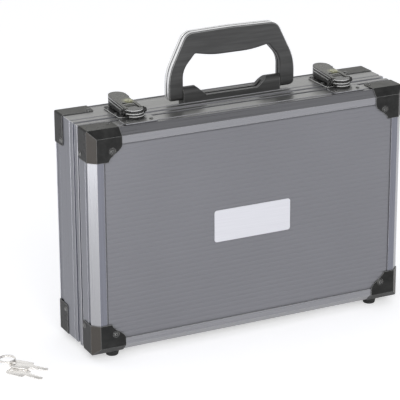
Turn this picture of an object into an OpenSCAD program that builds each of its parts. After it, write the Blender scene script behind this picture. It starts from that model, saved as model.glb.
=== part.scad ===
// Hard tool case: two aluminium framed halves, corner guards, handle, two key latches and two hinges.
// Millimetres. X is the width, minus Y the front (lid side), Z up from the floor under the feet.

/* [Output] */
// Sub-part to show, or "all"

/* [Case] */
// Width over the corner guards
case_w = 395; // [360:5:450]
// Depth over the corner guards
case_d = 105.7; // [100.7:1:120.7]
// Height over the corner guards
case_h = 261; // [240:3:300]
// Chamfer of the frame along the front and rear edges
frame_chamfer = 8; // [7:0.5:9]
// Wall thickness of the frame extrusions
wall = 1.6; // [1.5:0.1:1.8]

/* [Panels] */
// Thickness of the panel boards
board_t = 3; // [2.6:0.2:3]
// Number of horizontal ribs on each panel
rib_count = 40; // [30:2:44]
// Width of the nameplate
plate_w = 96; // [80:4:110]
// Height of the nameplate
plate_h = 37.5; // [30:2.5:45]

/* [Guards and feet] */
// Sheet thickness of the corner guards
guard_t = 1; // [0.8:0.1:1]
// Reach of a guard along the width
guard_x = 38.8; // [36:1:42]
// Reach of a guard along the height
guard_z = 36; // [36:1:42]
// Height of the rubber feet
foot_h = 8; // [7:0.5:12]

/* [Handle] */
// Distance of the handle's middle to the right of the case's middle
handle_x = 3.5; // [0:0.5:6]
// Depth of the handle
handle_d = 13.4; // [12.4:0.5:14.4]
// Radius of the handle's pivot pins
pivot_r = 2.2; // [1.8:0.2:2.6]

/* [Latches and hinges] */
// Distance of each latch from the case's side
latch_edge = 67.5; // [62:1:80]
// Distance of each hinge from the case's side
hinge_edge = 77.5; // [68:1:100]
// Width of a hinge leaf
hinge_w = 40; // [32:4:48]

/* [Keys] */
// Thickness of the keys
key_t = 1.8; // [1.5:0.1:2]

/* [Hidden] */
$fn = 48;
run_gap = 0.05;      // radial clearance of a running pin
eps = 0.01;
latch_x = case_w / 2 - latch_edge;
hinge_x = case_w / 2 - hinge_edge;
base_z = foot_h;
top_z = base_z + case_h;
mid_z = base_z + case_h / 2;
frame_w = case_w - 2 * guard_t;
frame_d = case_d - 2 * guard_t;
frame_h = case_h - 2 * guard_t;
frame_top = top_z - guard_t;
frame_bottom = base_z + guard_t;
frame_front = -frame_d / 2;
frame_rear = frame_d / 2;

lip = 15.9;          // height of the frame's lip over the panel
lip_t = 1.4;         // thickness of the lips beside the board
slot_w = board_t + 0.4;
recess = 0.8;        // depth of the long recess bands
lid_depth = 29.8;    // depth of the lid's frame
shadow = 4.6;       // width of the gap between the halves
rim_y = frame_front + lid_depth;     // rear rim of the lid's frame
tongue_y = rim_y + shadow;           // face of the base's bead behind the gap
tongue_top = wall + 0.3;
tongue_t = 1.6;
tongue_in = 5;       // how far the tongue enters the lid
stop_gap = 0.4;
stop_h = 3.8;
field_edge = lip + 1.8;
crest = 0.2;         // rib crests lie this far behind the lip
valley = 0.65;

shank_r = 1.5;       // rivets and foot screws
blind = 1.3;         // depth of the rivet holes in the frame
rivet_r = 3;
rivet_h = 1.2;
dimple_d = 0.45;
plate_rivet_r = 2.4;
plate_t = 1.5;       // latch and hinge plates

guard_y = 30.3;      // reach of a guard along the depth
guard_chamfer = frame_chamfer + (2 - sqrt(2)) * guard_t;
foot_x = case_w / 2 - 30;
foot_y = case_d / 2 - 19.85;

handle_y = tongue_y + 28.35;
handle_z = frame_top + 0.8;
pivot_z = handle_z + 10;
pin_x = 63;
backing_w = 126;
leg_in = 61.3;
leg_out = 79.3;
ear_out = 61;
grip_gap = 2;        // width of the band between the shells

// Latch sizes: y from the lid's rear rim, heights from the frame's top
latch_pivot = [4.05, 7.3];     // axis of the lever
hook_pivot = [12.05, 5.9];     // axis of the hook in the lever
lever_half = 10.4;
lever_in = 7.9;      // half width inside the lever
lever_nose_r = 5;    // front of the lever, round about its pivot
lever_rear = 56;
lever_front_h = 11.9;
lever_rear_h = 15.6;
lever_top_t = 2.2;
lever_pin_r = 1.5;
hook_pin_r = 1.3;
hook_half = 6.6;
knuckle_in_r = 6.2;  // round root of the hook in the lever's slot
slot_gap = 0.4;
groove_d = 0.9;
groove_h = 1;
cheek_in = 11.1;
cheek_t = 2;
plug_at = [3.6, 24.1];
plug_r = 4.5;
stem_r = 3;
keeper_y = -5.4;
keeper_t = 1.6;
keeper_h = 5;
latch_plate = [32, 47];
latch_plate_y = 28.55;
catch_plate = [40, 19.4];
catch_plate_y = -10.25;
latch_rivets = [-13, 13];
latch_rivet_y = 48.05;
catch_rivets = [-14, 14];
catch_rivet_y = -12.95;

hinge_y = rim_y + 2.35;
knuckle_r = 2.5;
hinge_z = frame_bottom - knuckle_r;
hinge_pin_r = 1.1;
knuckle_w = 17.4;    // middle knuckle, on the lid's leaf
rib_y = tongue_y + 15.55;    // middle of the frame's outer rib, where rivets sit
hinge_rivet_y = rim_y - 7.95;
key_spot = [-case_w / 2 - 77.8, rim_y + 11.25];   // hole of the upper key

// ---- shared outlines ----

// Points of a round corner of radius r at b, between a and c
function unit(v) = v / norm(v);
function arc_corner(a, b, c, r, n) =
    let (p = unit(a - b))
    let (q = unit(c - b))
    let (half = acos(p * q) / 2)
    let (start = b + p * r / tan(half))
    let (centre = b + unit(p + q) * r / sin(half))
    let (a0 = atan2(start[1] - centre[1], start[0] - centre[0]))
    let (turn = (cross(p, q) > 0 ? -1 : 1) * (180 - 2 * half))
    [for (i = [0:n]) centre + r * [cos(a0 + turn * i / n), sin(a0 + turn * i / n)]];
// Outline through points [x, y, radius]; a radius of 0 keeps the corner
function rounded(p, n) = [for (i = [0:len(p) - 1])
    let (a = p[(i + len(p) - 1) % len(p)])
    let (b = p[i])
    let (c = p[(i + 1) % len(p)])
    each (b[2] == 0 ? [[b[0], b[1]]] : arc_corner([a[0], a[1]], [b[0], b[1]], [c[0], c[1]], b[2], n))];

module round_plate(x, y, r) {
    translate([-x / 2, -y / 2 + r]) square([x, y - 2 * r]);
    translate([-x / 2 + r, -y / 2]) square([x - 2 * r, y]);
    for (sx = [-1, 1], sy = [-1, 1]) translate([sx * (x / 2 - r), sy * (y / 2 - r)]) circle(r);
}

// Profile in Y and Z, extruded along X about the middle
module along_x(length) {
    rotate([90, 0, 90]) linear_extrude(length, center = true) children();
}

module x_pin(length, r) {
    rotate([0, 90, 0]) cylinder(h = length, r = r, center = true);
}

// Box with chamfers along its front and rear edges, standing on z
module chamfered_box(w, d, h, z, c) {
    intersection() {
        translate([0, 0, z]) linear_extrude(h)
            polygon([[-w/2, -d/2 + c], [-w/2 + c, -d/2], [w/2 - c, -d/2], [w/2, -d/2 + c],
                [w/2, d/2 - c], [w/2 - c, d/2], [-w/2 + c, d/2], [-w/2, d/2 - c]]);
        along_x(w) polygon([[-d/2 + c, z], [d/2 - c, z], [d/2, z + c], [d/2, z + h - c],
            [d/2 - c, z + h], [-d/2 + c, z + h], [-d/2, z + h - c], [-d/2, z + c]]);
    }
}

// ---- rivets ----

// Outer ends of the guard rivets of one half; side is -1 for the lid and 1 for the base
module face_spots(side) {
    for (sx = [-1, 1], sz = [-1, 1])
        translate([sx * (case_w / 2 - 27), side * case_d / 2, mid_z + sz * (case_h / 2 - 24)])
            rotate([-90 * side, 0, 0]) children();
}
module edge_spots(side) {
    for (sx = [-1, 1], sz = [-1, 1])
        translate([sx * case_w / 2, side * (case_d / 2 - 26.5), mid_z + sz * (case_h / 2 - 29.9)])
            rotate([0, 90 * sx, 0]) children();
    for (sx = [-1, 1]) translate([sx * (case_w / 2 - 33.3), side * (case_d / 2 - 26), top_z]) children();
}

module guard_spots(side) {
    face_spots(side) children();
    edge_spots(side) children();
}

module foot_spots(side) {
    for (sx = [-1, 1]) translate([sx * foot_x, side * foot_y, base_z]) rotate([180, 0, 0]) children();
}

// Outer ends of the plate rivets, on top of the plates
module latch_base_spots() {
    for (sx = [-1, 1], dx = latch_rivets, y = [rib_y, rim_y + latch_rivet_y])
        translate([sx * latch_x + dx, y, frame_top + plate_t]) children();
}
module latch_catch_spots() {
    for (sx = [-1, 1], dx = catch_rivets)
        translate([sx * latch_x + dx, rim_y + catch_rivet_y, frame_top + plate_t]) children();
}
module hinge_base_spots() {
    for (sx = [-1, 1], dx = [-1, 1])
        translate([sx * hinge_x + dx * (hinge_w / 2 - 6), rib_y, frame_bottom - plate_t])
            rotate([180, 0, 0]) children();
}
module hinge_lid_spots() {
    for (sx = [-1, 1], dx = [-1, 1])
        translate([sx * hinge_x + dx * (hinge_w / 2 - 6), hinge_rivet_y, frame_bottom - plate_t])
            rotate([180, 0, 0]) children();
}

// Rivet through a sheet, its head sunk in a dimple
module rivet(sheet, r, sink) {
    translate([0, 0, -sink]) cylinder(h = rivet_h, r1 = r, r2 = r * 0.6);
    translate([0, 0, -sheet - blind]) cylinder(h = sheet + blind + eps - sink, r = shank_r);
}
module rivet_hole(sheet) {
    translate([0, 0, -sheet - blind]) cylinder(h = sheet + blind + 1, r = shank_r);
}
module dimple() {
    translate([0, 0, -dimple_d]) cylinder(h = dimple_d + 0.1, r1 = rivet_r + 0.4, r2 = rivet_r + 1.2);
}
module lid_holes() {
    guard_spots(-1) rivet_hole(guard_t);
    foot_spots(-1) rivet_hole(guard_t);
    latch_catch_spots() rivet_hole(plate_t);
    hinge_lid_spots() rivet_hole(plate_t);
}
module base_holes() {
    guard_spots(1) rivet_hole(guard_t);
    foot_spots(1) rivet_hole(guard_t);
    latch_base_spots() rivet_hole(plate_t);
    hinge_base_spots() rivet_hole(plate_t);
}

// ---- frames ----

// Inner face of the chamfer at depth u behind the panel plane
function inner_v(u) = u - frame_chamfer - wall * sqrt(2);

// Lid extrusion: depth behind the front plane, height outwards from the outer face
module lid_profile() {
    s0 = lip_t;
    s1 = lip_t + slot_w;
    s2 = s1 + lip_t;
    band_end = 15.2;
    stop1 = lid_depth - tongue_in - stop_gap;
    deep = wall + recess;
    polygon([[0, -lip], [0, -frame_chamfer], [frame_chamfer, 0], [frame_chamfer + 0.4, 0],
        [frame_chamfer + 0.6, -recess], [band_end - 0.2, -recess], [band_end, 0],
        [lid_depth - 0.4, 0], [lid_depth, -0.4], [lid_depth, -wall],
        [stop1, -wall], [stop1, -stop_h], [stop1 - 1.8, -stop_h], [stop1 - 1.8, -wall],
        [band_end + 1.2, -wall], [band_end + 0.8, -deep],
        [frame_chamfer + wall * sqrt(2) - deep, -deep], [s2, inner_v(s2)], [s2, -lip + lip_t],
        [s1, -lip + lip_t], [s1, inner_v(s1)], [s0, inner_v(s0)], [s0, -lip]]);
}

// Base extrusion: depth in front of the rear plane, height outwards from the outer face
module base_profile() {
    s0 = lip_t;
    s1 = lip_t + slot_w;
    s2 = s1 + lip_t;
    band_end = 18.75;
    bead = frame_rear - tongue_y;
    groove = bead - 5.85;
    rib = groove - 6.6;
    step = rib - 5.8;
    smooth = step - 3.2;
    tip = bead + shadow + tongue_in;
    low = tongue_top + tongue_t;
    deep = wall + recess;
    polygon([[0, -lip], [0, -frame_chamfer], [frame_chamfer, 0], [frame_chamfer + 0.4, 0],
        [frame_chamfer + 0.6, -recess], [band_end - 0.2, -recess], [band_end, 0],
        [smooth - 0.2, 0], [smooth, -0.6], [step - 0.2, -0.6], [step, 0], [rib, 0],
        [rib + 0.4, -2], [groove - 0.4, -2], [groove, 0], [bead - 0.4, 0], [bead, -0.4],
        [bead, -tongue_top], [tip, -tongue_top], [tip, -low],
        [rib - 0.4, -low], [rib - 1.4, -2.2], [smooth + 0.6, -2.2], [smooth + 0.2, -wall],
        [band_end + 1.2, -wall], [band_end + 0.8, -deep],
        [frame_chamfer + wall * sqrt(2) - deep, -deep], [s2, inner_v(s2)], [s2, -lip + lip_t],
        [s1, -lip + lip_t], [s1, inner_v(s1)], [s0, inner_v(s0)], [s0, -lip]]);
}

// One mitred side of a frame, outer face up at z = 0
module mitred(length) {
    cut = 30;
    intersection() {
        along_x(length) children();
        rotate([90, 0, 0]) linear_extrude(4 * cut + frame_d, center = true)
            polygon([[-length/2, 0], [-length/2 + cut, -cut], [length/2 - cut, -cut], [length/2, 0]]);
    }
}
module lid_bar(length) {
    mitred(length) translate([frame_front, 0]) lid_profile();
}
module base_bar(length) {
    mitred(length) translate([frame_rear, 0]) mirror([1, 0]) base_profile();
}

module lid_top() {
    color("silver") difference() {
        translate([0, 0, frame_top]) lid_bar(frame_w);
        lid_holes();
    }
}
module lid_bottom() {
    color("silver") difference() {
        translate([0, 0, frame_bottom]) mirror([0, 0, 1]) lid_bar(frame_w);
        lid_holes();
    }
}
module lid_side(side) {
    color("silver") difference() {
        translate([side * frame_w / 2, 0, mid_z]) rotate([0, side * 90, 0]) lid_bar(frame_h);
        lid_holes();
    }
}
module base_top() {
    color("silver") difference() {
        translate([0, 0, frame_top]) base_bar(frame_w);
        base_holes();
        screw_spots() cylinder(h = 4 * wall, r = screw_r, center = true);
    }
}
module base_bottom() {
    color("silver") difference() {
        translate([0, 0, frame_bottom]) mirror([0, 0, 1]) base_bar(frame_w);
        base_holes();
    }
}
module base_side(side) {
    color("silver") difference() {
        translate([side * frame_w / 2, 0, mid_z]) rotate([0, side * 90, 0]) base_bar(frame_h);
        base_holes();
    }
}

// ---- panels ----

// Ribbed board in the frame's slot, front face at y = 0
module panel() {
    edge = frame_chamfer + 1.2;
    field_w = frame_w - 2 * field_edge;
    field_h = frame_h - 2 * field_edge;
    pitch = field_h / rib_count;
    z0 = frame_bottom + field_edge;
    translate([-frame_w / 2 + edge, lip_t + 0.2, frame_bottom + edge])
        cube([frame_w - 2 * edge, board_t, frame_h - 2 * edge]);
    along_x(field_w) polygon(concat([[lip_t + 0.3, z0]],
        [for (i = [0:rib_count - 1], k = [[0, valley], [0.08, valley], [0.3, crest], [0.7, crest], [0.92, valley]])
            [k[1], z0 + (i + k[0]) * pitch]],
        [[valley, z0 + field_h], [lip_t + 0.3, z0 + field_h]]));
}
module base_panel() {
    color("dimgray") difference() {
        translate([0, frame_rear, 0]) mirror([0, 1, 0]) panel();
        base_holes();
    }
}
module lid_panel() {
    color("dimgray") difference() {
        translate([0, frame_front, 0]) panel();
        lid_holes();
    }
}
module lining(y, thick) {
    edge = lip - lip_t + 0.6;
    color("black") translate([-frame_w / 2 + edge, y, frame_bottom + edge])
        cube([frame_w - 2 * edge, thick, frame_h - 2 * edge]);
}
module base_lining() {
    lining(frame_rear - lip_t - 0.2 - board_t - 4, 4);
}
module lid_lining() {
    lining(frame_front + lip_t + 0.2 + board_t, 4);
}
module nameplate() {
    color("gainsboro") translate([0, frame_front + crest, mid_z - 0.6]) rotate([90, 0, 0])
        linear_extrude(0.8) round_plate(plate_w, plate_h, 3);
}

// ---- corner guards ----

// Guard of the upper left corner of the lid
module guard_shape() {
    diag = [for (i = [0:8]) [guard_x - 16.1 * (1 - cos(22.5 * i)) / 2, 18 + (guard_z - 18) * i / 8]];
    r = 3;
    difference() {
        intersection() {
            chamfered_box(case_w, case_d, case_h, base_z, guard_chamfer);
            translate([-case_w / 2, -case_d / 2, top_z - guard_z]) linear_extrude(guard_z) {
                square([guard_x - r, guard_y]);
                square([guard_x, guard_y - r]);
                translate([guard_x - r, guard_y - r]) circle(r);
            }
            translate([-case_w / 2, -case_d / 2, top_z]) rotate([90, 0, 90]) linear_extrude(guard_x) {
                translate([0, -guard_z + r]) square([guard_y, guard_z - r]);
                translate([0, -guard_z]) square([guard_y - r, guard_z]);
                translate([guard_y - r, -guard_z + r]) circle(r);
            }
            translate([-case_w / 2, 0, top_z - 2 * guard_z]) rotate([90, 0, 0])
                linear_extrude(2 * case_d, center = true) {
                    square([2 * guard_x, 2 * guard_z - 2]);
                    translate([2, 2 * guard_z - 2]) circle(2);
                    translate([2, 0]) square([2 * guard_x, 2 * guard_z]);
                }
        }
        chamfered_box(frame_w, frame_d, frame_h, frame_bottom, frame_chamfer);
        translate([-case_w / 2, 0, top_z]) rotate([90, 0, 0]) linear_extrude(2 * case_d, center = true)
            mirror([0, 1]) polygon(concat(diag, [[guard_x - 16.1, guard_z + 1], [guard_x + 1, guard_z + 1],
                [guard_x + 1, 18]]));
    }
}
// sx, side and sz are -1 or 1
module guard(sx, side, sz) {
    color("dimgray") difference() {
        scale([-sx, -side, 1]) translate([0, 0, mid_z]) scale([1, 1, sz]) translate([0, 0, -mid_z]) guard_shape();
        guard_spots(side) rivet_hole(guard_t);
        foot_spots(side) rivet_hole(guard_t);
        face_spots(side) dimple();
    }
}

module base_rivets() {
    color("silver") {
        face_spots(1) rivet(guard_t, rivet_r, dimple_d);
        edge_spots(1) rivet(guard_t, rivet_r, 0);
        latch_base_spots() rivet(plate_t, plate_rivet_r, 0);
        hinge_base_spots() rivet(plate_t, plate_rivet_r, 0);
    }
}
module lid_rivets() {
    color("silver") {
        face_spots(-1) rivet(guard_t, rivet_r, dimple_d);
        edge_spots(-1) rivet(guard_t, rivet_r, 0);
        latch_catch_spots() rivet(plate_t, plate_rivet_r, 0);
        hinge_lid_spots() rivet(plate_t, plate_rivet_r, 0);
    }
}

// ---- feet ----

module foot_shape() {
    rotate_extrude() polygon([[shank_r, 0.8], [shank_r, foot_h - 3.4], [3.4, foot_h - 3.4], [3.4, foot_h],
        [6.4, foot_h], [7, foot_h - 0.6], [7.5, foot_h - 3], [7.1, foot_h - 3.3], [7.6, foot_h - 3.6],
        [8.2, 2], [7.8, 1.7], [8.6, 1.4], [9, 0.6], [9, 0], [shank_r, 0]]);
}
module foot(sx, side) {
    color("black") translate([sx * foot_x, side * foot_y, base_z]) rotate([180, 0, 0]) foot_shape();
}
module foot_screws(side) {
    color("silver") foot_spots(side) {
        translate([0, 0, foot_h - 3.4]) cylinder(h = 1.6, r1 = 3.2, r2 = 2.2);
        translate([0, 0, -guard_t - blind]) cylinder(h = guard_t + blind + foot_h - 3.3, r = shank_r);
    }
}

// ---- hinges ----

module leaf_profile(reach) {
    circle(knuckle_r);
    polygon([[0, knuckle_r - plate_t], [reach, knuckle_r - plate_t], [reach, knuckle_r], [0, knuckle_r]]);
}
module hinge_base(side) {
    side_w = (hinge_w - knuckle_w - 0.6) / 2;
    lug_gap = 0.3;
    color("silver") difference() {
        translate([side * hinge_x, hinge_y, hinge_z]) difference() {
            along_x(hinge_w) leaf_profile(rib_y + 3.9 - hinge_y);
            translate([0, -knuckle_r - 1, -4]) linear_extrude(8)
                translate([-knuckle_w / 2 - lug_gap, 0]) square([knuckle_w + 2 * lug_gap, 2 * knuckle_r + 1.3]);
            x_pin(hinge_w + 1, hinge_pin_r);
        }
        hinge_base_spots() rivet_hole(plate_t);
    }
}
module hinge_lid(side) {
    color("silver") difference() {
        translate([side * hinge_x, hinge_y, hinge_z]) difference() {
            union() {
                difference() {
                    mirror([0, 1, 0]) along_x(hinge_w) leaf_profile(16.3);
                    for (sx = [-1, 1]) translate([sx * (knuckle_w / 2 + hinge_w / 2), 0, 0])
                        cube([hinge_w, 2 * knuckle_r + 0.6, 8], center = true);
                }
                rotate([-4, 0, 0]) translate([0, 0, -3.3]) cube([10, 1.4, 3], center = true);
            }
            x_pin(hinge_w + 1, hinge_pin_r + run_gap);
        }
        hinge_lid_spots() rivet_hole(plate_t);
    }
}
module hinge_pins() {
    color("gray") for (sx = [-1, 1]) translate([sx * hinge_x, hinge_y, hinge_z])
        x_pin(hinge_w, hinge_pin_r);
}

// ---- handle ----

screw_r = 2;
// Axes of the bracket's screws at the frame's top
module screw_spots() {
    for (dx = [-53, -24, 24, 53]) translate([handle_x + dx, handle_y, frame_top]) children();
}

module grip_outline() {
    half = [[leg_in, 1.5, 0], [leg_out, 1.5, 7], [leg_out, 34, 60], [57, 79.3, 14]];
    inner = [[24, 50.3, 120], [46.2, 54.6, 3], [leg_in, 37.2, 25]];
    left = [for (i = [3:-1:0]) [-half[i][0], half[i][1], half[i][2]]];
    left_in = [for (i = [2:-1:0]) [-inner[i][0], inner[i][1], inner[i][2]]];
    polygon(rounded(concat(half, [[0, 80.5, 0]], left, left_in, inner), 7));
}
// Layer of the handle from y0 to y1 with its outline drawn in by inset
module grip_layer(y0, y1, inset) {
    translate([handle_x, y1, handle_z]) rotate([90, 0, 0]) linear_extrude(y1 - y0)
        offset(delta = -inset) grip_outline();
}
module leg_ends() {
    r = handle_d / 2;
    translate([handle_x, 0, 0]) along_x(2 * leg_out + 2) {
        translate([handle_y - r, handle_z + 8.2]) square([2 * r, 80]);
        translate([handle_y, handle_z + 8.2]) circle(r);
    }
}
module handle_bore() {
    for (sx = [-1, 1]) translate([handle_x + sx * (leg_in + 6.5), handle_y, pivot_z])
        x_pin(15, pivot_r + run_gap);
}
module grip_shell() {
    y0 = handle_y - handle_d / 2;
    y1 = handle_y - grip_gap / 2;
    difference() {
        intersection() {
            union() {
                grip_layer(y0 + 1.6, y1, 0);
                grip_layer(y0 + 0.7, y1, 0.6);
                grip_layer(y0, y1, 1.6);
            }
            leg_ends();
        }
        handle_bore();
    }
}
module handle_front() {
    color("dimgray") grip_shell();
}
module handle_rear() {
    color("dimgray") translate([0, handle_y, 0]) mirror([0, 1, 0]) translate([0, -handle_y, 0]) grip_shell();
}
module handle_band() {
    color("black") difference() {
        intersection() {
            grip_layer(handle_y - grip_gap / 2, handle_y + grip_gap / 2, 0.8);
            leg_ends();
        }
        handle_bore();
    }
}
module handle_pins() {
    color("silver") for (sx = [-1, 1]) translate([handle_x + sx * pin_x, handle_y, pivot_z]) x_pin(20, pivot_r);
}
module handle_bracket() {
    depth = 13.3;
    mid_h = 6.4;
    ear_h = 17.4;
    color("black") difference() {
        intersection() {
            translate([handle_x, handle_y + depth / 2, frame_top]) rotate([90, 0, 0]) linear_extrude(depth)
                polygon([[-ear_out, 0], [ear_out, 0], [ear_out, ear_h], [45, ear_h], [32.4, mid_h],
                    [-32.4, mid_h], [-45, ear_h], [-ear_out, ear_h]]);
            translate([handle_x, 0, 0]) along_x(2 * ear_out + 2) {
                translate([handle_y - depth / 2, frame_top]) square([depth, pivot_z - frame_top]);
                translate([handle_y, pivot_z]) circle(depth / 2);
            }
        }
        translate([handle_x - 40, handle_y - 2.5, frame_top + 3]) cube([80, 5, 20]);
        handle_pins_cut();
        screw_spots() cylinder(h = 2 * screw_depth(), r = screw_r, center = true);
    }
}
function screw_depth() = 2.4;
module handle_pins_cut() {
    for (sx = [-1, 1]) translate([handle_x + sx * pin_x, handle_y, pivot_z]) x_pin(20, pivot_r);
}
module handle_backing() {
    color("silver") difference() {
        translate([handle_x, handle_y, frame_top - wall - 2]) linear_extrude(2) round_plate(backing_w, 13, 3);
        screw_spots() cylinder(h = 20, r = screw_r, center = true);
    }
}
module handle_screws() {
    color("silver") screw_spots() {
        translate([0, 0, -wall - 2]) cylinder(h = wall + 2 + screw_depth(), r = screw_r);
        translate([0, 0, -wall - 4.2]) cylinder(h = 2.2, r1 = 3, r2 = 3.8);
    }
}

// ---- latches: x from the latch's middle, y from the lid's rear rim, z from the frame's top ----

module at_latch(side) {
    translate([side * latch_x, rim_y, frame_top]) children();
}
// Axes at a latch pivot, for pins and bores along x
module at_pivot(p) {
    translate([0, p[0], p[1]]) children();
}
// Thickness of the lever between its rear end and round nose, seen from the side
module lever_side() {
    up = asin((lever_front_h - latch_pivot[1]) / lever_nose_r);
    steps = 24;
    polygon(concat([[lever_rear, 3], [lever_rear, lever_rear_h]],
        [for (i = [0:steps]) let (a = 180 - up + i * (90 + up) / steps)
            latch_pivot + lever_nose_r * [cos(a), sin(a)]],
        [[latch_pivot[0] + 2, 3]]));
}
// Outline of the lever from above, drawn in by d
module lever_plan(d) {
    half = lever_half - d;
    translate([0, lever_rear - lever_half]) circle(half);
    translate([-half, -lever_half]) square([2 * half, lever_rear]);
}
module lever_grooves() {
    tilt = atan((lever_rear_h - lever_front_h) / lever_rear);
    for (drop = [3.4, 6.8]) translate([0, 0, lever_front_h - drop]) rotate([tilt, 0, 0])
        linear_extrude(groove_h) difference() {
            lever_plan(-2);
            lever_plan(groove_d);
        }
}
module latch_base(side) {
    color("dimgray") difference() {
        at_latch(side) {
            translate([0, latch_plate_y, 0]) linear_extrude(plate_t) {
                round_plate(latch_plate[0], latch_plate[1], 6);
                translate([0, -latch_plate[1] / 4]) round_plate(latch_plate[0], latch_plate[1] / 2, 3);
            }
            for (sx = [-1, 1]) difference() {
                translate([sx * (cheek_in + cheek_t / 2), 0, 0]) along_x(cheek_t) {
                    translate(latch_pivot) circle(4);
                    polygon([[latch_pivot[0] - 3.9, 7], [latch_pivot[0] + 1, plate_t - 0.4],
                        [latch_pivot[0] + 7, plate_t - 0.4], [latch_pivot[0] + 3.9, 7]]);
                }
                at_pivot(latch_pivot) x_pin(40, lever_pin_r);
            }
            translate([plug_at[0], plug_at[1], 0]) along_x(6)
                polygon([[8.6, 1], [9.9, 1], [9.9, 4.6], [4.8, 4.6], [4.8, 3.2], [8.6, 3.2]]);
        }
        latch_base_spots() rivet_hole(plate_t);
    }
}
module latch_lever(side) {
    slot_end = hook_pivot[0] + knuckle_in_r + slot_gap;
    slot_half = hook_half + slot_gap;
    color("darkolivegreen") at_latch(side) difference() {
        intersection() {
            along_x(2 * lever_half) lever_side();
            linear_extrude(20) lever_plan(0);
        }
        lever_grooves();
        intersection() {
            along_x(2 * lever_in) polygon([[-10, 2], [lever_rear, 2], [lever_rear, lever_rear_h - lever_top_t],
                [-10, lever_front_h - lever_top_t - 0.7]]);
            linear_extrude(20) lever_plan(lever_half - lever_in);
        }
        translate([-slot_half, -5, 0]) cube([2 * slot_half, slot_end + 5, 20]);
        translate([lever_half - 1.5, plug_at[1] - 3, 8.5]) cube([3, 16, 10]);
        translate([lever_in - 0.5, plug_at[1] - 1.1, 8.5]) cube([4, 5.2, 2.3]);
        translate([plug_at[0], plug_at[1], 10]) cylinder(h = 10, r = plug_r + run_gap);
        at_pivot(latch_pivot) x_pin(30, lever_pin_r + run_gap);
        at_pivot(hook_pivot) x_pin(30, hook_pin_r);
    }
}
// Front of the hook: three rims stepping out downwards, round like the lever's end
module hook_head() {
    bow_y = latch_pivot[0] - 2;
    front = 20;
    top = lever_front_h - 0.4;
    under = keeper_h + 0.3;
    grip = keeper_y - 0.3;
    difference() {
        union() {
            translate([0, bow_y, under]) cylinder(h = top - under, r = lever_half - groove_d - 0.2);
            translate([0, bow_y, top - 2.7]) cylinder(h = 2.7, r = lever_half - 0.2);
            translate([0, bow_y, under + 0.3]) cylinder(h = 2.1, r = lever_half + 0.7);
            intersection() {
                translate([0, bow_y, 2.2]) cylinder(h = 2.8, r = lever_half + 1.6);
                translate([-front, grip - front, 0]) cube([2 * front, front, 10]);
            }
            intersection() {
                translate([0, bow_y, 4.5]) cylinder(h = 2, r = lever_half + 0.3);
                translate([-front, grip - front, 0]) cube([2 * front, front, 10]);
            }
        }
        translate([-front, latch_pivot[0] - 5.3, 0]) cube([2 * front, 2 * front, latch_pivot[1]]);
        translate([-front, latch_pivot[0], 0]) cube([2 * front, 2 * front, 20]);
        at_pivot(latch_pivot) x_pin(40, lever_nose_r + 0.3);
    }
}
module latch_hook(side) {
    top = lever_front_h - 0.7;
    color("black") at_latch(side) difference() {
        union() {
            hook_head();
            along_x(2 * hook_half) difference() {
                union() {
                    translate(hook_pivot) circle(knuckle_in_r);
                    polygon([[hook_pivot[0], 3.4], [hook_pivot[0], top], [-5, top], [-5, keeper_h + 0.6],
                        [latch_pivot[0], 3.8]]);
                }
                translate([hook_pivot[0] - 10, -10]) square([20, 13.2]);
            }
        }
        at_pivot(hook_pivot) x_pin(30, hook_pin_r + run_gap);
    }
}
module latch_catch(side) {
    color("dimgray") difference() {
        at_latch(side) {
            translate([0, catch_plate_y, 0]) linear_extrude(plate_t)
                round_plate(catch_plate[0], catch_plate[1], 3);
            translate([-6, keeper_y, 1]) cube([12, keeper_t, keeper_h - 1]);
        }
        latch_catch_spots() rivet_hole(plate_t);
    }
}
module lock_body(side) {
    color("black") at_latch(side) difference() {
        translate([0, plug_at[1], 0]) {
            translate([-2, -5, 4.4]) cube([lever_in + 2, 9, 6.3]);
            translate([lever_in - 1, -1, 8.5]) cube([lever_half - lever_in + 0.9, 5, 2.2]);
            translate([lever_half - 1.4, -1, 8.5]) cube([1.3, 5, 4.5]);
        }
        translate([plug_at[0], plug_at[1], 0]) cylinder(h = 20, r = stem_r + run_gap);
    }
}
module lock_plug(side) {
    color("black") at_latch(side) translate([plug_at[0], plug_at[1], 0]) difference() {
        union() {
            translate([0, 0, 10.75]) cylinder(h = 3.2, r = plug_r);
            translate([0, 0, 1.8]) cylinder(h = 9.1, r = stem_r);
            translate([-7.4, -2.5, 1.8]) cube([7.4, 5, 1.1]);
        }
        translate([0, 0, 13]) cube([1.2, 5, 3], center = true);
    }
}
module lever_pins() {
    outer = cheek_in + cheek_t;
    color("black") for (side = [-1, 1], sx = [-1, 1]) at_latch(side) at_pivot(latch_pivot) {
        translate([sx * (lever_in + outer) / 2, 0, 0]) x_pin(outer - lever_in, lever_pin_r);
        translate([sx * (outer + 1.2), 0, 0]) x_pin(2.4, 2.6);
    }
}
module hook_pin(side) {
    color("silver") at_latch(side) at_pivot(hook_pivot) x_pin(2 * (lever_half - groove_d) - 0.2, hook_pin_r);
}

// ---- keys on their ring ----

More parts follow.
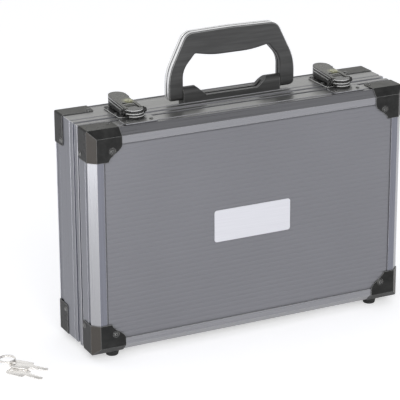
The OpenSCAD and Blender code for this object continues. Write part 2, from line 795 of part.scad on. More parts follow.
module key_shape() {
    difference() {
        linear_extrude(key_t) {
            round_plate(14, 19, 5);
            translate([7, 0]) round_plate(10, 9, 2);
            polygon([[10, -4], [36, -4], [39, -1.5], [38, 1.5], [35, 2.4], [33, 1.2], [31, 3.2], [28, 1.6],
                [26, 3.4], [23, 2], [20, 3.6], [18, 3.6], [16, 4], [10, 4]]);
        }
        translate([-3.4, 0, -1]) cylinder(h = 5, r = 2.4);
        translate([12, -1.6, key_t - 0.4]) cube([30, 0.9, 1]);
    }
}
module at_keys(dx, dy, dz) {
    translate([key_spot[0] + dx, key_spot[1] + dy, dz]) children();
}
module key_a() {
    color("silver") at_keys(0, -6, key_t + 0.1) rotate([0, 0, -49]) key_shape();
}
module key_b() {
    color("silver") at_keys(-8, -18, 0) rotate([0, 0, -58]) key_shape();
}
module key_ring() {
    wire = 0.8;
    color("silver") at_keys(-7, 6, 2 * key_t + 0.2 + wire) for (z = [0, 1.5]) translate([0, 0, z])
        rotate_extrude() translate([9, 0]) circle(wire, $fn = 24);
}

base_top();
base_bottom();
base_side(-1);  // base_left
base_side(1);  // base_right
base_panel();
base_lining();
guard(-1, 1, 1);  // base_guard_tl
guard(1, 1, 1);  // base_guard_tr
guard(-1, 1, -1);  // base_guard_bl
guard(1, 1, -1);  // base_guard_br
base_rivets();
lid_top();
lid_bottom();
lid_side(-1);  // lid_left
lid_side(1);  // lid_right
lid_panel();
lid_lining();
nameplate();
guard(-1, -1, 1);  // lid_guard_tl
guard(1, -1, 1);  // lid_guard_tr
guard(-1, -1, -1);  // lid_guard_bl
guard(1, -1, -1);  // lid_guard_br
lid_rivets();
foot(-1, -1);  // foot_fl
foot(1, -1);  // foot_fr
foot(-1, 1);  // foot_rl
foot(1, 1);  // foot_rr
foot_screws(-1);  // foot_screws_lid
foot_screws(1);  // foot_screws_base
hinge_base(-1);  // hinge_base_left
hinge_base(1);  // hinge_base_right
hinge_lid(-1);  // hinge_lid_left
hinge_lid(1);  // hinge_lid_right
hinge_pins();
handle_front();
handle_rear();
handle_band();
handle_pins();
handle_bracket();
handle_backing();
handle_screws();
latch_base(-1);  // latch_base_left
latch_base(1);  // latch_base_right
latch_lever(-1);  // latch_lever_left
latch_lever(1);  // latch_lever_right
latch_hook(-1);  // latch_hook_left
latch_hook(1);  // latch_hook_right
latch_catch(-1);  // latch_catch_left
latch_catch(1);  // latch_catch_right
lock_body(-1);  // lock_body_left
lock_body(1);  // lock_body_right
lock_plug(-1);  // lock_plug_left
lock_plug(1);  // lock_plug_right
lever_pins();
hook_pin(-1);  // hook_pin_left
hook_pin(1);  // hook_pin_right
key_a();
key_b();
key_ring();
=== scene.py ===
import math
import bpy
import bmesh
from mathutils import Vector, Matrix


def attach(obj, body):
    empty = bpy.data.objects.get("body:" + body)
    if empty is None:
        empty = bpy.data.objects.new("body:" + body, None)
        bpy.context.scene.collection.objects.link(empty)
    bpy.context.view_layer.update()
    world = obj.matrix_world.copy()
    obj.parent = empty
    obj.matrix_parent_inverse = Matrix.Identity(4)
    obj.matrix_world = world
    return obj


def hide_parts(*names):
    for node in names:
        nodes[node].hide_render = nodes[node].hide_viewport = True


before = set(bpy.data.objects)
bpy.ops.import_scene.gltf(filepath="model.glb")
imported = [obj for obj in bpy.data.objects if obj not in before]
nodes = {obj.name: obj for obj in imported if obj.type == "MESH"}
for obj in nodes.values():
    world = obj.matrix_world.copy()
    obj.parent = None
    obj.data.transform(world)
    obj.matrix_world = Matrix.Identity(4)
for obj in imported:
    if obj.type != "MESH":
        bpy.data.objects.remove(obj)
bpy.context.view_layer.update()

# ---------------------------------------------------------------- stage
# A pale plain floor, a white world seen by the camera and mirrored by the
# metal, two soft panels of light, and the camera at the photograph's
# height, left of the case's front.
scene = bpy.context.scene
scene.view_settings.view_transform = "Standard"


def node_tree(datablock):
    datablock.use_nodes = True
    tree = datablock.node_tree
    tree.nodes.clear()
    return tree


def backdrop_ray(tree):
    """1 for the rays that see the white backdrop: camera, mirrored and refracted ones."""
    ray = tree.nodes.new("ShaderNodeLightPath")
    total = ray.outputs["Is Camera Ray"]
    for kind in ("Is Glossy Ray", "Is Transmission Ray"):
        most = tree.nodes.new("ShaderNodeMath")
        most.operation = "MAXIMUM"
        tree.links.new(total, most.inputs[0])
        tree.links.new(ray.outputs[kind], most.inputs[1])
        total = most.outputs[0]
    return total


world = bpy.data.worlds.new("world")
scene.world = world
tree = node_tree(world)
soft = tree.nodes.new("ShaderNodeBackground")
soft.inputs["Color"].default_value = (0.95, 0.96, 1.0, 1)
soft.inputs["Strength"].default_value = 0.55
white = tree.nodes.new("ShaderNodeBackground")
white.inputs["Strength"].default_value = 1.0
# the backdrop is white to well above the case and falls off to a dim ceiling
up = tree.nodes.new("ShaderNodeTexCoord")
split = tree.nodes.new("ShaderNodeSeparateXYZ")
ramp = tree.nodes.new("ShaderNodeValToRGB")
ramp.color_ramp.elements[0].position = 0.45
ramp.color_ramp.elements[0].color = (1, 1, 1, 1)
ramp.color_ramp.elements[1].position = 0.85
ramp.color_ramp.elements[1].color = (0.22, 0.22, 0.22, 1)
tree.links.new(up.outputs["Generated"], split.inputs[0])
tree.links.new(split.outputs["Z"], ramp.inputs["Fac"])
tree.links.new(ramp.outputs["Color"], white.inputs["Color"])
pick = tree.nodes.new("ShaderNodeMixShader")
tree.links.new(backdrop_ray(tree), pick.inputs["Fac"])
tree.links.new(soft.outputs[0], pick.inputs[1])
tree.links.new(white.outputs[0], pick.inputs[2])
out = tree.nodes.new("ShaderNodeOutputWorld")
tree.links.new(pick.outputs[0], out.inputs["Surface"])


def area_light(name, at, to, size, power, color=(1, 1, 1)):
    light = bpy.data.lights.new(name, "AREA")
    light.shape = "RECTANGLE"
    light.size, light.size_y = size
    light.energy = power
    light.color = color
    obj = bpy.data.objects.new(name, light)
    scene.collection.objects.link(obj)
    obj.location = at
    obj.rotation_euler = (Vector(to) - Vector(at)).to_track_quat("-Z", "Y").to_euler()


area_light("key", at=(-0.7, -2.1, 1.6), to=(0, 0, 0.1), size=(1.6, 1.2), power=19)
area_light("low_left", at=(-0.88, -0.42, 0.09), to=(-0.2, -0.05, 0.12), size=(0.5, 0.16),
           power=1.1, color=(0.95, 0.96, 1.0))

bpy.ops.mesh.primitive_plane_add(size=12, location=(0, 0, 0))
floor = bpy.context.object
floor.name = "floor"
floor_mat = bpy.data.materials.new("floor")
tree = node_tree(floor_mat)
shader = tree.nodes.new("ShaderNodeBsdfPrincipled")
shader.inputs["Base Color"].default_value = (0.86, 0.86, 0.87, 1)
shader.inputs["Roughness"].default_value = 0.8
shader.inputs["Emission Color"].default_value = (1, 1, 1, 1)
# half emissive to those rays, so the floor meets the white backdrop and keeps the shadow
half_lift = 0.5
lift = tree.nodes.new("ShaderNodeMath")
lift.operation = "MULTIPLY"
lift.inputs[1].default_value = half_lift
tree.links.new(backdrop_ray(tree), lift.inputs[0])
tree.links.new(lift.outputs[0], shader.inputs["Emission Strength"])
out = tree.nodes.new("ShaderNodeOutputMaterial")
tree.links.new(shader.outputs[0], out.inputs["Surface"])
floor.data.materials.append(floor_mat)

# lens, place and direction were fitted to the case's edges in the photograph
cam_data = bpy.data.cameras.new("camera")
cam_data.lens = 176.04
cam_data.sensor_width = 36
camera = bpy.data.objects.new("camera", cam_data)
scene.collection.objects.link(camera)
scene.camera = camera
camera_at = (-0.96886, -1.88121, 0.89674)
sight = Vector((0.41716, 0.84503, -0.33451)).normalized()
rightward = sight.cross(Vector((0, 0, 1))).normalized()
upward = rightward.cross(sight)
roll = math.radians(0.3)
camera_x = rightward * math.cos(roll) - upward * math.sin(roll)
camera_y = rightward * math.sin(roll) + upward * math.cos(roll)
turn = Matrix((camera_x, camera_y, -sight)).transposed().to_4x4()
camera.matrix_world = Matrix.Translation(camera_at) @ turn


# ------------------------------------------------- frame extrusions
# Satin anodised aluminium, grey with a trace of violet. Drawn through a
# die, so fine lines run along each length; mitred, and held together at
# the corners by the riveted guards.
def paint(names, material):
    for name in names:
        mesh = nodes[name].data
        if not mesh.materials:
            mesh.materials.append(material)
        for i in range(len(mesh.materials)):
            mesh.materials[i] = material


class Look:
    """A principled material with its node tree at hand; patterns are in the piece's own axes."""

    def __init__(self, name, color, rough, metal=0.0):
        self.mat = bpy.data.materials.new(name)
        self.tree = node_tree(self.mat)
        self.shader = self.new("ShaderNodeBsdfPrincipled")
        self.shader.inputs["Base Color"].default_value = (*color, 1)
        self.shader.inputs["Roughness"].default_value = rough
        self.shader.inputs["Metallic"].default_value = metal
        self.coord = self.new("ShaderNodeTexCoord").outputs["Object"]
        end = self.new("ShaderNodeOutputMaterial")
        self.link(self.shader.outputs[0], end.inputs["Surface"])
        self.color = color
        self.rounded = None

    def new(self, kind, **props):
        node = self.tree.nodes.new(kind)
        for key, value in props.items():
            setattr(node, key, value)
        return node

    def link(self, a, b):
        self.tree.links.new(a, b)

    def noise(self, scale, detail=3.0, rough=0.5):
        """Noise at scale cycles per metre along each axis."""
        stretch = self.new("ShaderNodeMapping")
        stretch.inputs["Scale"].default_value = scale
        self.link(self.coord, stretch.inputs["Vector"])
        node = self.new("ShaderNodeTexNoise")
        node.inputs["Scale"].default_value = 1.0
        node.inputs["Detail"].default_value = detail
        node.inputs["Roughness"].default_value = rough
        self.link(stretch.outputs[0], node.inputs["Vector"])
        return node.outputs["Fac"]

    def spread(self, value, low, high, lo_in=0.3, hi_in=0.7):
        """Value from lo_in to hi_in, where most of a noise lies, spread over low to high."""
        node = self.new("ShaderNodeMapRange")
        node.inputs["From Min"].default_value = lo_in
        node.inputs["From Max"].default_value = hi_in
        node.inputs["To Min"].default_value = low
        node.inputs["To Max"].default_value = high
        self.link(value, node.inputs["Value"])
        return node.outputs[0]

    def tint(self, value, dark, light):
        """Colour from dark to light by a 0 to 1 value."""
        mix = self.new("ShaderNodeMix", data_type="RGBA")
        mix.inputs[6].default_value = (*dark, 1)
        mix.inputs[7].default_value = (*light, 1)
        self.link(value, mix.inputs[0])
        self.link(mix.outputs[2], self.shader.inputs["Base Color"])

    def edge(self, radius):
        """1 on the rounded strip along sharp edges, 0 on the faces."""
        round_off = self.new("ShaderNodeBevel", samples=6)
        round_off.inputs["Radius"].default_value = radius
        face = self.new("ShaderNodeNewGeometry")
        dot = self.new("ShaderNodeVectorMath", operation="DOT_PRODUCT")
        self.link(round_off.outputs[0], dot.inputs[0])
        self.link(face.outputs["Normal"], dot.inputs[1])
        self.rounded = round_off.outputs[0]
        return self.spread(dot.outputs["Value"], 1, 0, 0.9, 0.99)

    def over(self, value, color):
        """Another colour laid over the base colour by a 0 to 1 value."""
        base = self.shader.inputs["Base Color"]
        mix = self.new("ShaderNodeMix", data_type="RGBA")
        mix.inputs[6].default_value = (*self.color, 1)
        if base.links:
            self.link(base.links[0].from_socket, mix.inputs[6])
        mix.inputs[7].default_value = (*color, 1)
        self.link(value, mix.inputs[0])
        self.link(mix.outputs[2], base)

    def facing(self, x=0, y=0, z=0):
        """How far a face looks along a direction, either way, in the piece's own axes."""
        dot = self.new("ShaderNodeVectorMath", operation="DOT_PRODUCT")
        self.link(self.new("ShaderNodeTexCoord").outputs["Normal"], dot.inputs[0])
        dot.inputs[1].default_value = Vector((x, y, z)).normalized()
        size = self.new("ShaderNodeMath", operation="ABSOLUTE")
        self.link(dot.outputs["Value"], size.inputs[0])
        return size.outputs[0]

    def aligned(self, facing):
        """1 where a face looks almost straight along the direction, from its facing value."""
        return self.spread(facing, 0, 1, 0.9, 0.97)

    def bump(self, value, depth, strength=1.0):
        node = self.new("ShaderNodeBump")
        node.inputs["Distance"].default_value = depth
        node.inputs["Strength"].default_value = strength
        self.link(value, node.inputs["Height"])
        if self.rounded:
            self.link(self.rounded, node.inputs["Normal"])
        self.link(node.outputs[0], self.shader.inputs["Normal"])


def shade(color, k):
    return tuple(min(1.0, c * k) for c in color)


def extruded_metal(name, color, scale, rough, side=None, chamfer=None, top=None):
    """Drawn aluminium; side and top are painted shade and chamfer a painted highlight, other tones
    for the faces that look that way.

    They are matched to the photograph's light, with a painted highlight on the paler edges where a
    cut edge catches it.
    """
    look = Look(name, color, rough, metal=0.75)
    lines = look.noise(scale, detail=4.0, rough=0.6)
    look.tint(look.spread(lines, 0, 1), shade(color, 0.92), shade(color, 1.06))
    # painted shade on the faces looking sideways and painted highlight on the chamfers
    if side:
        # from 0.5 the chamfers are in, which lie between the front and the end
        look.over(look.spread(look.facing(x=1), 0, 1, 0.5, 0.6), chamfer)
        look.over(look.aligned(look.facing(x=1)), side)
    # painted shade on the faces looking up
    if top:
        look.over(look.aligned(look.facing(z=1)), top)
    # painted highlight along the sharp edges
    look.over(look.edge(radius=0.0005), (0.75, 0.75, 0.77))
    look.link(look.spread(lines, rough - 0.05, rough + 0.06), look.shader.inputs["Roughness"])
    look.bump(lines, depth=0.00004, strength=0.35)
    return look.mat


along, across = 6, 900  # cycles of the drawn lines per metre
along_x = extruded_metal("frame_along_x", (0.295, 0.295, 0.312), (along, across, across), rough=0.3,
                         top=(0.27, 0.27, 0.262))
along_z = extruded_metal("frame_along_z", (0.21, 0.215, 0.25), (across, across, along), rough=0.3,
                         side=(0.165, 0.168, 0.19), chamfer=(0.36, 0.36, 0.372))
paint(["base_top", "base_bottom", "lid_top", "lid_bottom"], along_x)
paint(["base_left", "base_right", "lid_left", "lid_right"], along_z)

# ------------------------------------------------------------- panels
# Ribbed boards held in the frame's slots: a grey plastic skin with a fine
# grain and a slow drift in its tone.
panel_color = (0.243, 0.243, 0.262)
look = Look("panel", panel_color, rough=0.5)
grain = look.noise((2500, 2500, 2500), detail=2.0)
drift = look.noise((5, 5, 5), detail=2.0)
look.tint(look.spread(drift, 0, 1), shade(panel_color, 0.93), shade(panel_color, 1.05))
look.link(look.spread(grain, 0.42, 0.56), look.shader.inputs["Roughness"])
look.bump(grain, depth=0.00005, strength=0.4)
paint(["base_panel", "lid_panel"], look.mat)

# -------------------------------------------------------------- linings
# A sheet of black fibre cloth glued to the back of each board, with a
# matte fuzzy nap.
look = Look("lining", (0.02, 0.02, 0.022), rough=0.9)
fuzz = look.noise((1500, 1500, 1500), detail=4.0, rough=0.7)
look.tint(look.spread(fuzz, 0, 1), (0.012, 0.012, 0.013), (0.04, 0.04, 0.043))
look.bump(fuzz, depth=0.0004, strength=0.8)
paint(["base_lining", "lid_lining"], look.mat)

# ------------------------------------------------------------ nameplate
# A thin bare plate of brushed aluminium, blanked with rounded corners and
# glued on the panel's rib crests.
look = Look("nameplate", (0.82, 0.82, 0.86), rough=0.42, metal=0.35)
brush = look.noise((30, 30, 3500), detail=3.0, rough=0.6)
look.tint(look.spread(brush, 0, 1), (0.78, 0.78, 0.82), (0.85, 0.85, 0.89))
look.bump(brush, depth=0.00003, strength=0.3)
paint(["nameplate"], look.mat)

# --------------------------------------------------------------- guards
# Pressed steel corners in black enamel with a faint orange peel, a painted
# highlight along the folds, and riveted to the frame. The upright facets and
# the tops are paler, a painted highlight as the photograph's light has them.
black = (0.031, 0.031, 0.03)
look = Look("guard", black, rough=0.3)
peel = look.noise((700, 700, 700), detail=2.0)
wear = look.noise((60, 60, 60), detail=4.0, rough=0.7)
look.tint(look.spread(wear, 0, 1, 0.45, 0.75), black, (0.052, 0.052, 0.05))
facet = look.new("ShaderNodeMath", operation="MAXIMUM")
for i, lean in enumerate((1, -1)):
    look.link(look.facing(x=1, y=lean), facet.inputs[i])
# painted highlight on the upright facets and on the tops
look.over(look.aligned(facet.outputs[0]), (0.095, 0.087, 0.078))
look.over(look.aligned(look.facing(z=1)), (0.08, 0.08, 0.07))
# painted highlight along the folds and edges
look.over(look.edge(radius=0.0008), (0.42, 0.42, 0.41))
look.link(look.spread(wear, 0.24, 0.36), look.shader.inputs["Roughness"])
look.bump(peel, depth=0.00006, strength=0.4)
look.shader.inputs["IOR"].default_value = 1.16
paint([name for name in nodes if "guard" in name], look.mat)

# --------------------------------------------------------------- rivets
# Blind rivets with domed dark heads, set through guards, latch plates and
# hinge leaves; the rims of the heads carry a painted highlight.
look = Look("rivets", (0.06, 0.06, 0.058), rough=0.26, metal=0.4)
spots = look.noise((500, 500, 500), detail=3.0)
look.tint(look.spread(spots, 0, 1), (0.045, 0.045, 0.043), (0.08, 0.08, 0.078))
# painted highlight round the rims of the heads
look.over(look.edge(radius=0.0006), (0.75, 0.75, 0.73))
look.link(look.spread(spots, 0.2, 0.34), look.shader.inputs["Roughness"])
look.bump(spots, depth=0.00002, strength=0.3)
paint(["base_rivets", "lid_rivets"], look.mat)

# ------------------------------------------------ hinges, screws and pins
# Zinc plated steel with a fine spangle: hinge leaves riveted under the
# case, turned pins, the feet's and the handle's screws and its backing plate.
look = Look("plated_steel", (0.36, 0.36, 0.37), rough=0.34, metal=0.9)
spots = look.noise((500, 500, 500), detail=3.0)
look.link(look.spread(spots, 0.26, 0.42), look.shader.inputs["Roughness"])
look.tint(look.spread(spots, 0, 1), (0.30, 0.30, 0.31), (0.42, 0.42, 0.43))
paint(["foot_screws_lid", "foot_screws_base", "handle_backing", "handle_screws", "handle_pins",
       "hinge_pins", "hook_pin_left", "hook_pin_right", "hinge_base_left", "hinge_base_right",
       "hinge_lid_left", "hinge_lid_right"], look.mat)

# ----------------------------------------------------------------- feet
# Round rubber feet, moulded, matte black with a trace of dust, each held
# by one screw from below.
look = Look("rubber", (0.016, 0.016, 0.016), rough=0.75)
dust = look.noise((300, 300, 300), detail=4.0, rough=0.7)
look.tint(look.spread(dust, 0, 1), (0.011, 0.011, 0.011), (0.03, 0.03, 0.029))
look.bump(dust, depth=0.0001, strength=0.5)
paint(["foot_fl", "foot_fr", "foot_rl", "foot_rr"], look.mat)

# --------------------------------------------------------------- handle
# Two moulded shells of grained black plastic round a darker band, on a
# bracket with two ears. The shells are made here, with their rounding and a
# painted highlight on their outer rim, and without the pins' bores.
handle_color = (0.05, 0.05, 0.049)


def handle_plastic(name, edge_radius=0, paler=1):
    """Grained plastic, streaked along the grip; a radius above 0 adds a painted highlight along the
    edges.
    """
    color = shade(handle_color, paler)
    look = Look(name, color, rough=0.4)
    grain = look.noise((1800, 1800, 1800), detail=2.0)
    streaks = look.noise((18, 200, 260), detail=3.0)
    look.tint(look.spread(streaks, 0, 1), shade(color, 0.7), shade(color, 1.4))
    if edge_radius:
        # painted highlight along the edges
        look.over(look.edge(edge_radius), (0.4, 0.4, 0.39))
    look.link(look.spread(grain, 0.34, 0.46), look.shader.inputs["Roughness"])
    look.bump(grain, depth=0.00006, strength=0.5)
    return look.mat


handle_mat = handle_plastic("handle")
# a paler copy of the plastic for one step of the rounding, a painted highlight
fold_highlight_mat = handle_plastic("handle_fold_highlight", paler=6)
paint(["handle_bracket"], handle_plastic("bracket", edge_radius=0.0006))

# painted highlight: the bright outer rim of the shells
look = Look("handle_rim_highlight", (0.9, 0.9, 0.9), rough=0.2, metal=0.45)
haze = look.noise((150, 150, 150), detail=3.0)
look.tint(look.spread(haze, 0, 1), (0.86, 0.86, 0.86), (0.95, 0.95, 0.94))
look.link(look.spread(haze, 0.15, 0.28), look.shader.inputs["Roughness"])
look.bump(haze, depth=0.00002, strength=0.3)
rim_highlight_mat = look.mat


def rounded(points, n):
    """Outline through (x, z, radius) points with n steps round each corner."""
    line = []
    for i, (x, z, r) in enumerate(points):
        b = Vector((x, z))
        if r == 0:
            line.append(b)
            continue
        p = (Vector(points[i - 1][:2]) - b).normalized()
        q = (Vector(points[(i + 1) % len(points)][:2]) - b).normalized()
        half = math.acos(p.dot(q)) / 2
        start = b + p * (r / math.tan(half))
        centre = b + (p + q).normalized() * (r / math.sin(half))
        first = math.atan2(start.y - centre.y, start.x - centre.x)
        sweep = (math.pi - 2 * half) * (-1 if p.x * q.y - p.y * q.x > 0 else 1)
        for k in range(n + 1):
            a = first + sweep * k / n
            line.append(centre + Vector((math.cos(a), math.sin(a))) * r)
    return line


def drawn_in(line, d):
    """The outline moved inwards by d; it runs anticlockwise."""
    least_fall = 0.4  # keeps the point of a sharp corner from running away
    res = []
    for i, b in enumerate(line):
        p = (b - line[i - 1]).normalized()
        q = (line[(i + 1) % len(line)] - b).normalized()
        n = Vector((-p.y - q.y, p.x + q.x)).normalized()
        res.append(b + n * (d / max(least_fall, n.dot(Vector((-p.y, p.x))))))
    return res


def mesh_object(name, bm, material):
    """An object from bm, shaded smooth up to the sharp angle."""
    sharp_angle = math.radians(35)
    mesh = bpy.data.meshes.new(name)
    bmesh.ops.recalc_face_normals(bm, faces=bm.faces)
    bm.to_mesh(mesh)
    bm.free()
    mesh.materials.append(material)
    obj = bpy.data.objects.new(name, mesh)
    scene.collection.objects.link(obj)
    mesh.shade_smooth()
    mesh.set_sharp_from_angle(angle=sharp_angle)
    return obj


# the grip's middle, the level of its outline's zero, and half its thickness
grip_x, grip_y, grip_z, grip_r = 0.0035, 0.0109, 0.2688, 0.0067
leg_round = 0.0082  # height where the rounding of the legs' lower ends begins
corner_steps = 12
outer = [(61.3, 1.5, 0), (79.3, 1.5, 7), (79.3, 34, 60), (57, 79.3, 14)]
inner = [(24, 50.3, 120), (46.2, 54.6, 3), (61.3, 37.2, 25)]
grip_points = (outer + [(0, 80.5, 0)] + [(-x, z, r) for x, z, r in reversed(outer)]
               + [(-x, z, r) for x, z, r in reversed(inner)] + inner)
grip_line = rounded(grip_points, corner_steps)
# the steps of the outline that run round the outside, from leg to leg over the top:
# each side has one sharp and three rounded corners, one point is on the middle, and
# the first and last step are the legs' lower ends
outer_count = 2 * (1 + 3 * (corner_steps + 1)) + 1
outer_edges = set(range(1, outer_count - 2))
# how far from the grip's middle the rim's and the paler line's painted highlights reach
rim_highlight_reach = 0.00575
fold_highlight_from, fold_highlight_to = 0.0063, 0.00665


def grip_piece(name, node, rings):
    """Rings of (depth from the handle's middle, inset), in millimetres, capped at both ends.

    The outer side is the rim's painted highlight, and one step of its rounding a paler line, also a
    painted highlight.
    """
    bm = bmesh.new()
    loops = []
    for depth, inset in rings:
        y = grip_y + depth / 1000
        loops.append([bm.verts.new((p.x / 1000 + grip_x, y, p.y / 1000 + grip_z))
                      for p in drawn_in(grip_line, inset)])
    count = len(grip_line)
    for a, b in zip(loops, loops[1:]):
        for i in range(count):
            face = bm.faces.new((a[i], a[(i + 1) % count], b[(i + 1) % count], b[i]))
            reach = max(abs(v.co.y - grip_y) for v in face.verts)
            if i in outer_edges and reach < rim_highlight_reach:
                face.material_index = 1
            elif i in outer_edges and fold_highlight_from < reach < fold_highlight_to:
                face.material_index = 2
    bm.faces.new(loops[0])
    bm.faces.new(loops[-1])
    # the legs' lower ends are cut at these levels and drawn round the pivot
    for cut in (2, 2.8, 3.8, 5, 6.4, 8.2):
        bmesh.ops.bisect_plane(bm, geom=bm.verts[:] + bm.edges[:] + bm.faces[:],
                               plane_co=(0, 0, grip_z + cut / 1000), plane_no=(0, 0, 1))
    for v in bm.verts:
        drop = grip_z + leg_round - v.co.z
        if drop > 0:
            v.co.y = grip_y + (v.co.y - grip_y) * math.sqrt(max(0.0, 1 - (drop / grip_r) ** 2))
    bmesh.ops.triangulate(bm, faces=[f for f in bm.faces if len(f.verts) > 4])
    obj = mesh_object(name, bm, handle_mat)
    obj.data.materials.append(rim_highlight_mat)
    obj.data.materials.append(fold_highlight_mat)
    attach(obj, "handle")
    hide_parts(node)


# from the front face, with its rounding, back to the band
shell = [(-6.7, 2.0), (-6.6, 1.35), (-6.25, 0.7), (-5.7, 0.25), (-4.9, 0.0), (-1.25, 0.0),
         (-1.0, 0.3)]
grip_piece("handle_front_shell", "handle_front", shell)
grip_piece("handle_rear_shell", "handle_rear", [(-depth, inset) for depth, inset in shell])

look = Look("handle_band", (0.03, 0.03, 0.031), rough=0.25)
grain = look.noise((1200, 1200, 1200), detail=2.0)
look.link(look.spread(grain, 0.2, 0.34), look.shader.inputs["Roughness"])
look.bump(grain, depth=0.00003, strength=0.3)
paint(["handle_band"], look.mat)

# -------------------------------------------------------------- latches
# Cast levers and hooks and pressed plates in black enamel with painted
# highlights along the mouldings, and mottled olive tops, partly a painted
# reflection. The lock's plug is yellowish zinc, and the riveted catch plates
# match the frame.
def band(look, value, middle, half):
    """1 where value lies within half of middle, fading to 0 at its ends."""
    away = look.new("ShaderNodeMath", operation="SUBTRACT")
    look.link(value, away.inputs[0])
    away.inputs[1].default_value = middle
    size = look.new("ShaderNodeMath", operation="ABSOLUTE")
    look.link(away.outputs[0], size.inputs[0])
    return look.spread(size.outputs[0], 1, 0, half * 0.6, half)


def both(look, a, b):
    """The product of two masks."""
    node = look.new("ShaderNodeMath", operation="MULTIPLY")
    look.link(a, node.inputs[0])
    look.link(b, node.inputs[1])
    return node.outputs[0]


def enamel(name, top_color, slope, bands, top_from, rubbed=()):
    """Black enamel with a paler top, partly its own olive and partly a painted reflection, and
    painted highlights in bright bands along its sides and on its edges.

    slope is the fall of the bands towards the front, bands their heights in
    millimetres at the lid's rim above the frame's top, and top_from the least
    upward normal that takes the top's colour. The zinc shows through round
    the rubbed points.
    """
    band_half, worn_from, worn_to = 0.0005, 0.0045, 0.009
    look = Look(name, (0.014, 0.014, 0.013), rough=0.24)
    speck = look.noise((900, 900, 900), detail=3.0)
    look.tint(look.spread(speck, 0, 1), (0.01, 0.01, 0.0095), (0.022, 0.022, 0.021))
    tilt = look.new("ShaderNodeSeparateXYZ")
    look.link(look.new("ShaderNodeTexCoord").outputs["Normal"], tilt.inputs[0])
    # paler top: partly the top's own olive, partly a painted reflection
    if top_color:
        upper = look.spread(tilt.outputs["Z"], 0, 1, top_from, top_from + 0.15)
        mottle = look.spread(look.noise((450, 450, 450), detail=3.0, rough=0.6), 0.25, 1, 0.38, 0.6)
        look.over(both(look, upper, mottle), top_color)
    for point in rubbed:
        gap = look.new("ShaderNodeVectorMath", operation="DISTANCE")
        look.link(look.coord, gap.inputs[0])
        gap.inputs[1].default_value = point
        worn = look.spread(gap.outputs["Value"], 1, 0, worn_from, worn_to)
        look.over(worn, (0.26, 0.26, 0.165))
    # painted highlight along the edges
    look.over(look.edge(radius=0.0003), (0.4, 0.4, 0.38))
    # painted highlights: bright bands along the mouldings
    if bands:
        height = look.new("ShaderNodeVectorMath", operation="DOT_PRODUCT")
        height.inputs[1].default_value = (0, -slope, 1)
        look.link(look.coord, height.inputs[0])
        upright = look.spread(band(look, tilt.outputs["Z"], 0, 0.7), 0, 1, 0, 1)
        for z in bands:
            level = frame_top + z / 1000 - slope * lid_rim_y
            strip = band(look, height.outputs["Value"], level, band_half)
            look.over(both(look, strip, upright), (0.85, 0.85, 0.83))
    look.link(look.spread(speck, 0.18, 0.34), look.shader.inputs["Roughness"])
    look.bump(speck, depth=0.00005, strength=0.4)
    return look.mat


frame_top, lid_rim_y = 0.268, -0.02205
lever_slope = 0.066
# the middles of the two plugs on the levers' tops
lock_tops = [(-0.1264, 0.002, 0.2815), (0.1336, 0.002, 0.2815)]
paint(["latch_base_left", "latch_base_right", "lever_pins", "lock_body_left", "lock_body_right"],
      enamel("latch_black", None, slope=0, bands=[1.1], top_from=0.8))
paint(["latch_hook_left", "latch_hook_right"],
      enamel("hook", (0.085, 0.085, 0.075), slope=0, bands=[10.7, 7.1, 4.4], top_from=0.45))
paint(["latch_lever_left", "latch_lever_right"],
      enamel("lever", (0.115, 0.115, 0.092), slope=lever_slope, bands=[10.05, 6.65],
             top_from=0.8, rubbed=lock_tops))
paint(["latch_catch_left", "latch_catch_right"], along_x)

look = Look("lock_plug", (0.34, 0.34, 0.19), rough=0.3, metal=0.6)
speck = look.noise((700, 700, 700), detail=3.0)
look.tint(look.spread(speck, 0, 1), (0.29, 0.29, 0.15), (0.42, 0.42, 0.25))
# painted highlight round the plug's edges and keyhole
look.over(look.edge(radius=0.0004), (0.95, 0.95, 0.85))
look.link(look.spread(speck, 0.22, 0.38), look.shader.inputs["Roughness"])
look.bump(speck, depth=0.00003, strength=0.3)
paint(["lock_plug_left", "lock_plug_right"], look.mat)

# ----------------------------------------------------------------- keys
# Two small stamped keys with broad plain bows and cut blades, nickel plated,
# on a split ring of spring wire. They lie flat, one partly on the other.
look = Look("nickel", (0.75, 0.73, 0.69), rough=0.25, metal=0.9)
scuff = look.noise((400, 400, 400), detail=4.0, rough=0.6)
look.tint(look.spread(scuff, 0, 1), (0.80, 0.78, 0.75), (0.95, 0.93, 0.90))
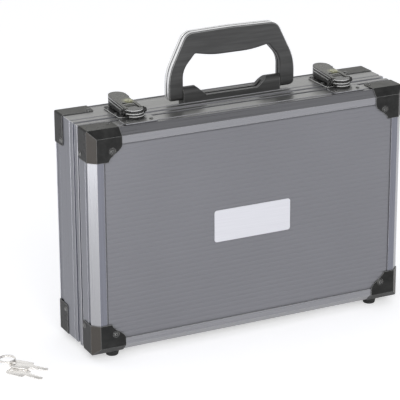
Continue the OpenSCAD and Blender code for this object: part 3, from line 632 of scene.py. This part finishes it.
# painted shade along the edges
look.over(look.edge(radius=0.0003), (0.3, 0.29, 0.27))
look.link(look.spread(scuff, 0.2, 0.36), look.shader.inputs["Roughness"])
look.bump(scuff, depth=0.00003, strength=0.3)
nickel = look.mat
paint(["key_ring"], nickel)

# thickness and rounding of the rim in metres; outline and hole in millimetres
key_thick, key_rim = 0.0018, 0.00025
key_edge = [(-7, 9.5, 5), (-7, -9.5, 5), (17, -9.3, 2), (17.6, -4, 1.2), (36, -4, 0),
            (38.8, -1.5, 0), (37.8, 1.5, 0), (35, 2.4, 0), (33, 1.2, 0), (31, 3.2, 0),
            (28, 1.6, 0), (26, 3.4, 0), (23, 2, 0), (20, 3.6, 0), (17.6, 4, 1.2), (17, 9.3, 2)]
bow_steps = 6
hole_x, hole_r, hole_steps = -3.4, 2.4, 24
turns = [math.tau * i / hole_steps for i in range(hole_steps)]
key_hole = [(hole_x + hole_r * math.cos(a), hole_r * math.sin(a)) for a in turns]


def key_piece(name, at, angle):
    """A flat plate with its outline and hole as closed lines, turned and laid in place."""
    curve = bpy.data.curves.new(name, "CURVE")
    curve.dimensions = "2D"
    curve.fill_mode = "BOTH"
    curve.extrude = key_thick / 2 - key_rim
    curve.bevel_depth = key_rim
    curve.bevel_resolution = 1
    curve.offset = -key_rim
    for line in (rounded(key_edge, bow_steps), key_hole):
        spline = curve.splines.new("POLY")
        spline.points.add(len(line) - 1)
        for point, (x, y) in zip(spline.points, line):
            point.co = (x / 1000, y / 1000, 0, 1)
        spline.use_cyclic_u = True
    drawn = bpy.data.objects.new(name + "_line", curve)
    mesh = bpy.data.meshes.new_from_object(drawn)
    bpy.data.objects.remove(drawn)
    bm = bmesh.new()
    bm.from_mesh(mesh)
    weld = 0.00001
    bmesh.ops.remove_doubles(bm, verts=bm.verts[:], dist=weld)
    bm.transform(Matrix.Translation(at) @ Matrix.Rotation(math.radians(angle), 4, "Z"))
    obj = mesh_object(name + "_plate", bm, nickel)
    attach(obj, "keys")
    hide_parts(name)


key_piece("key_a", Vector((-0.2753, -0.0168, 0.0028)), -49)
key_piece("key_b", Vector((-0.2833, -0.0288, 0.0009)), -58)
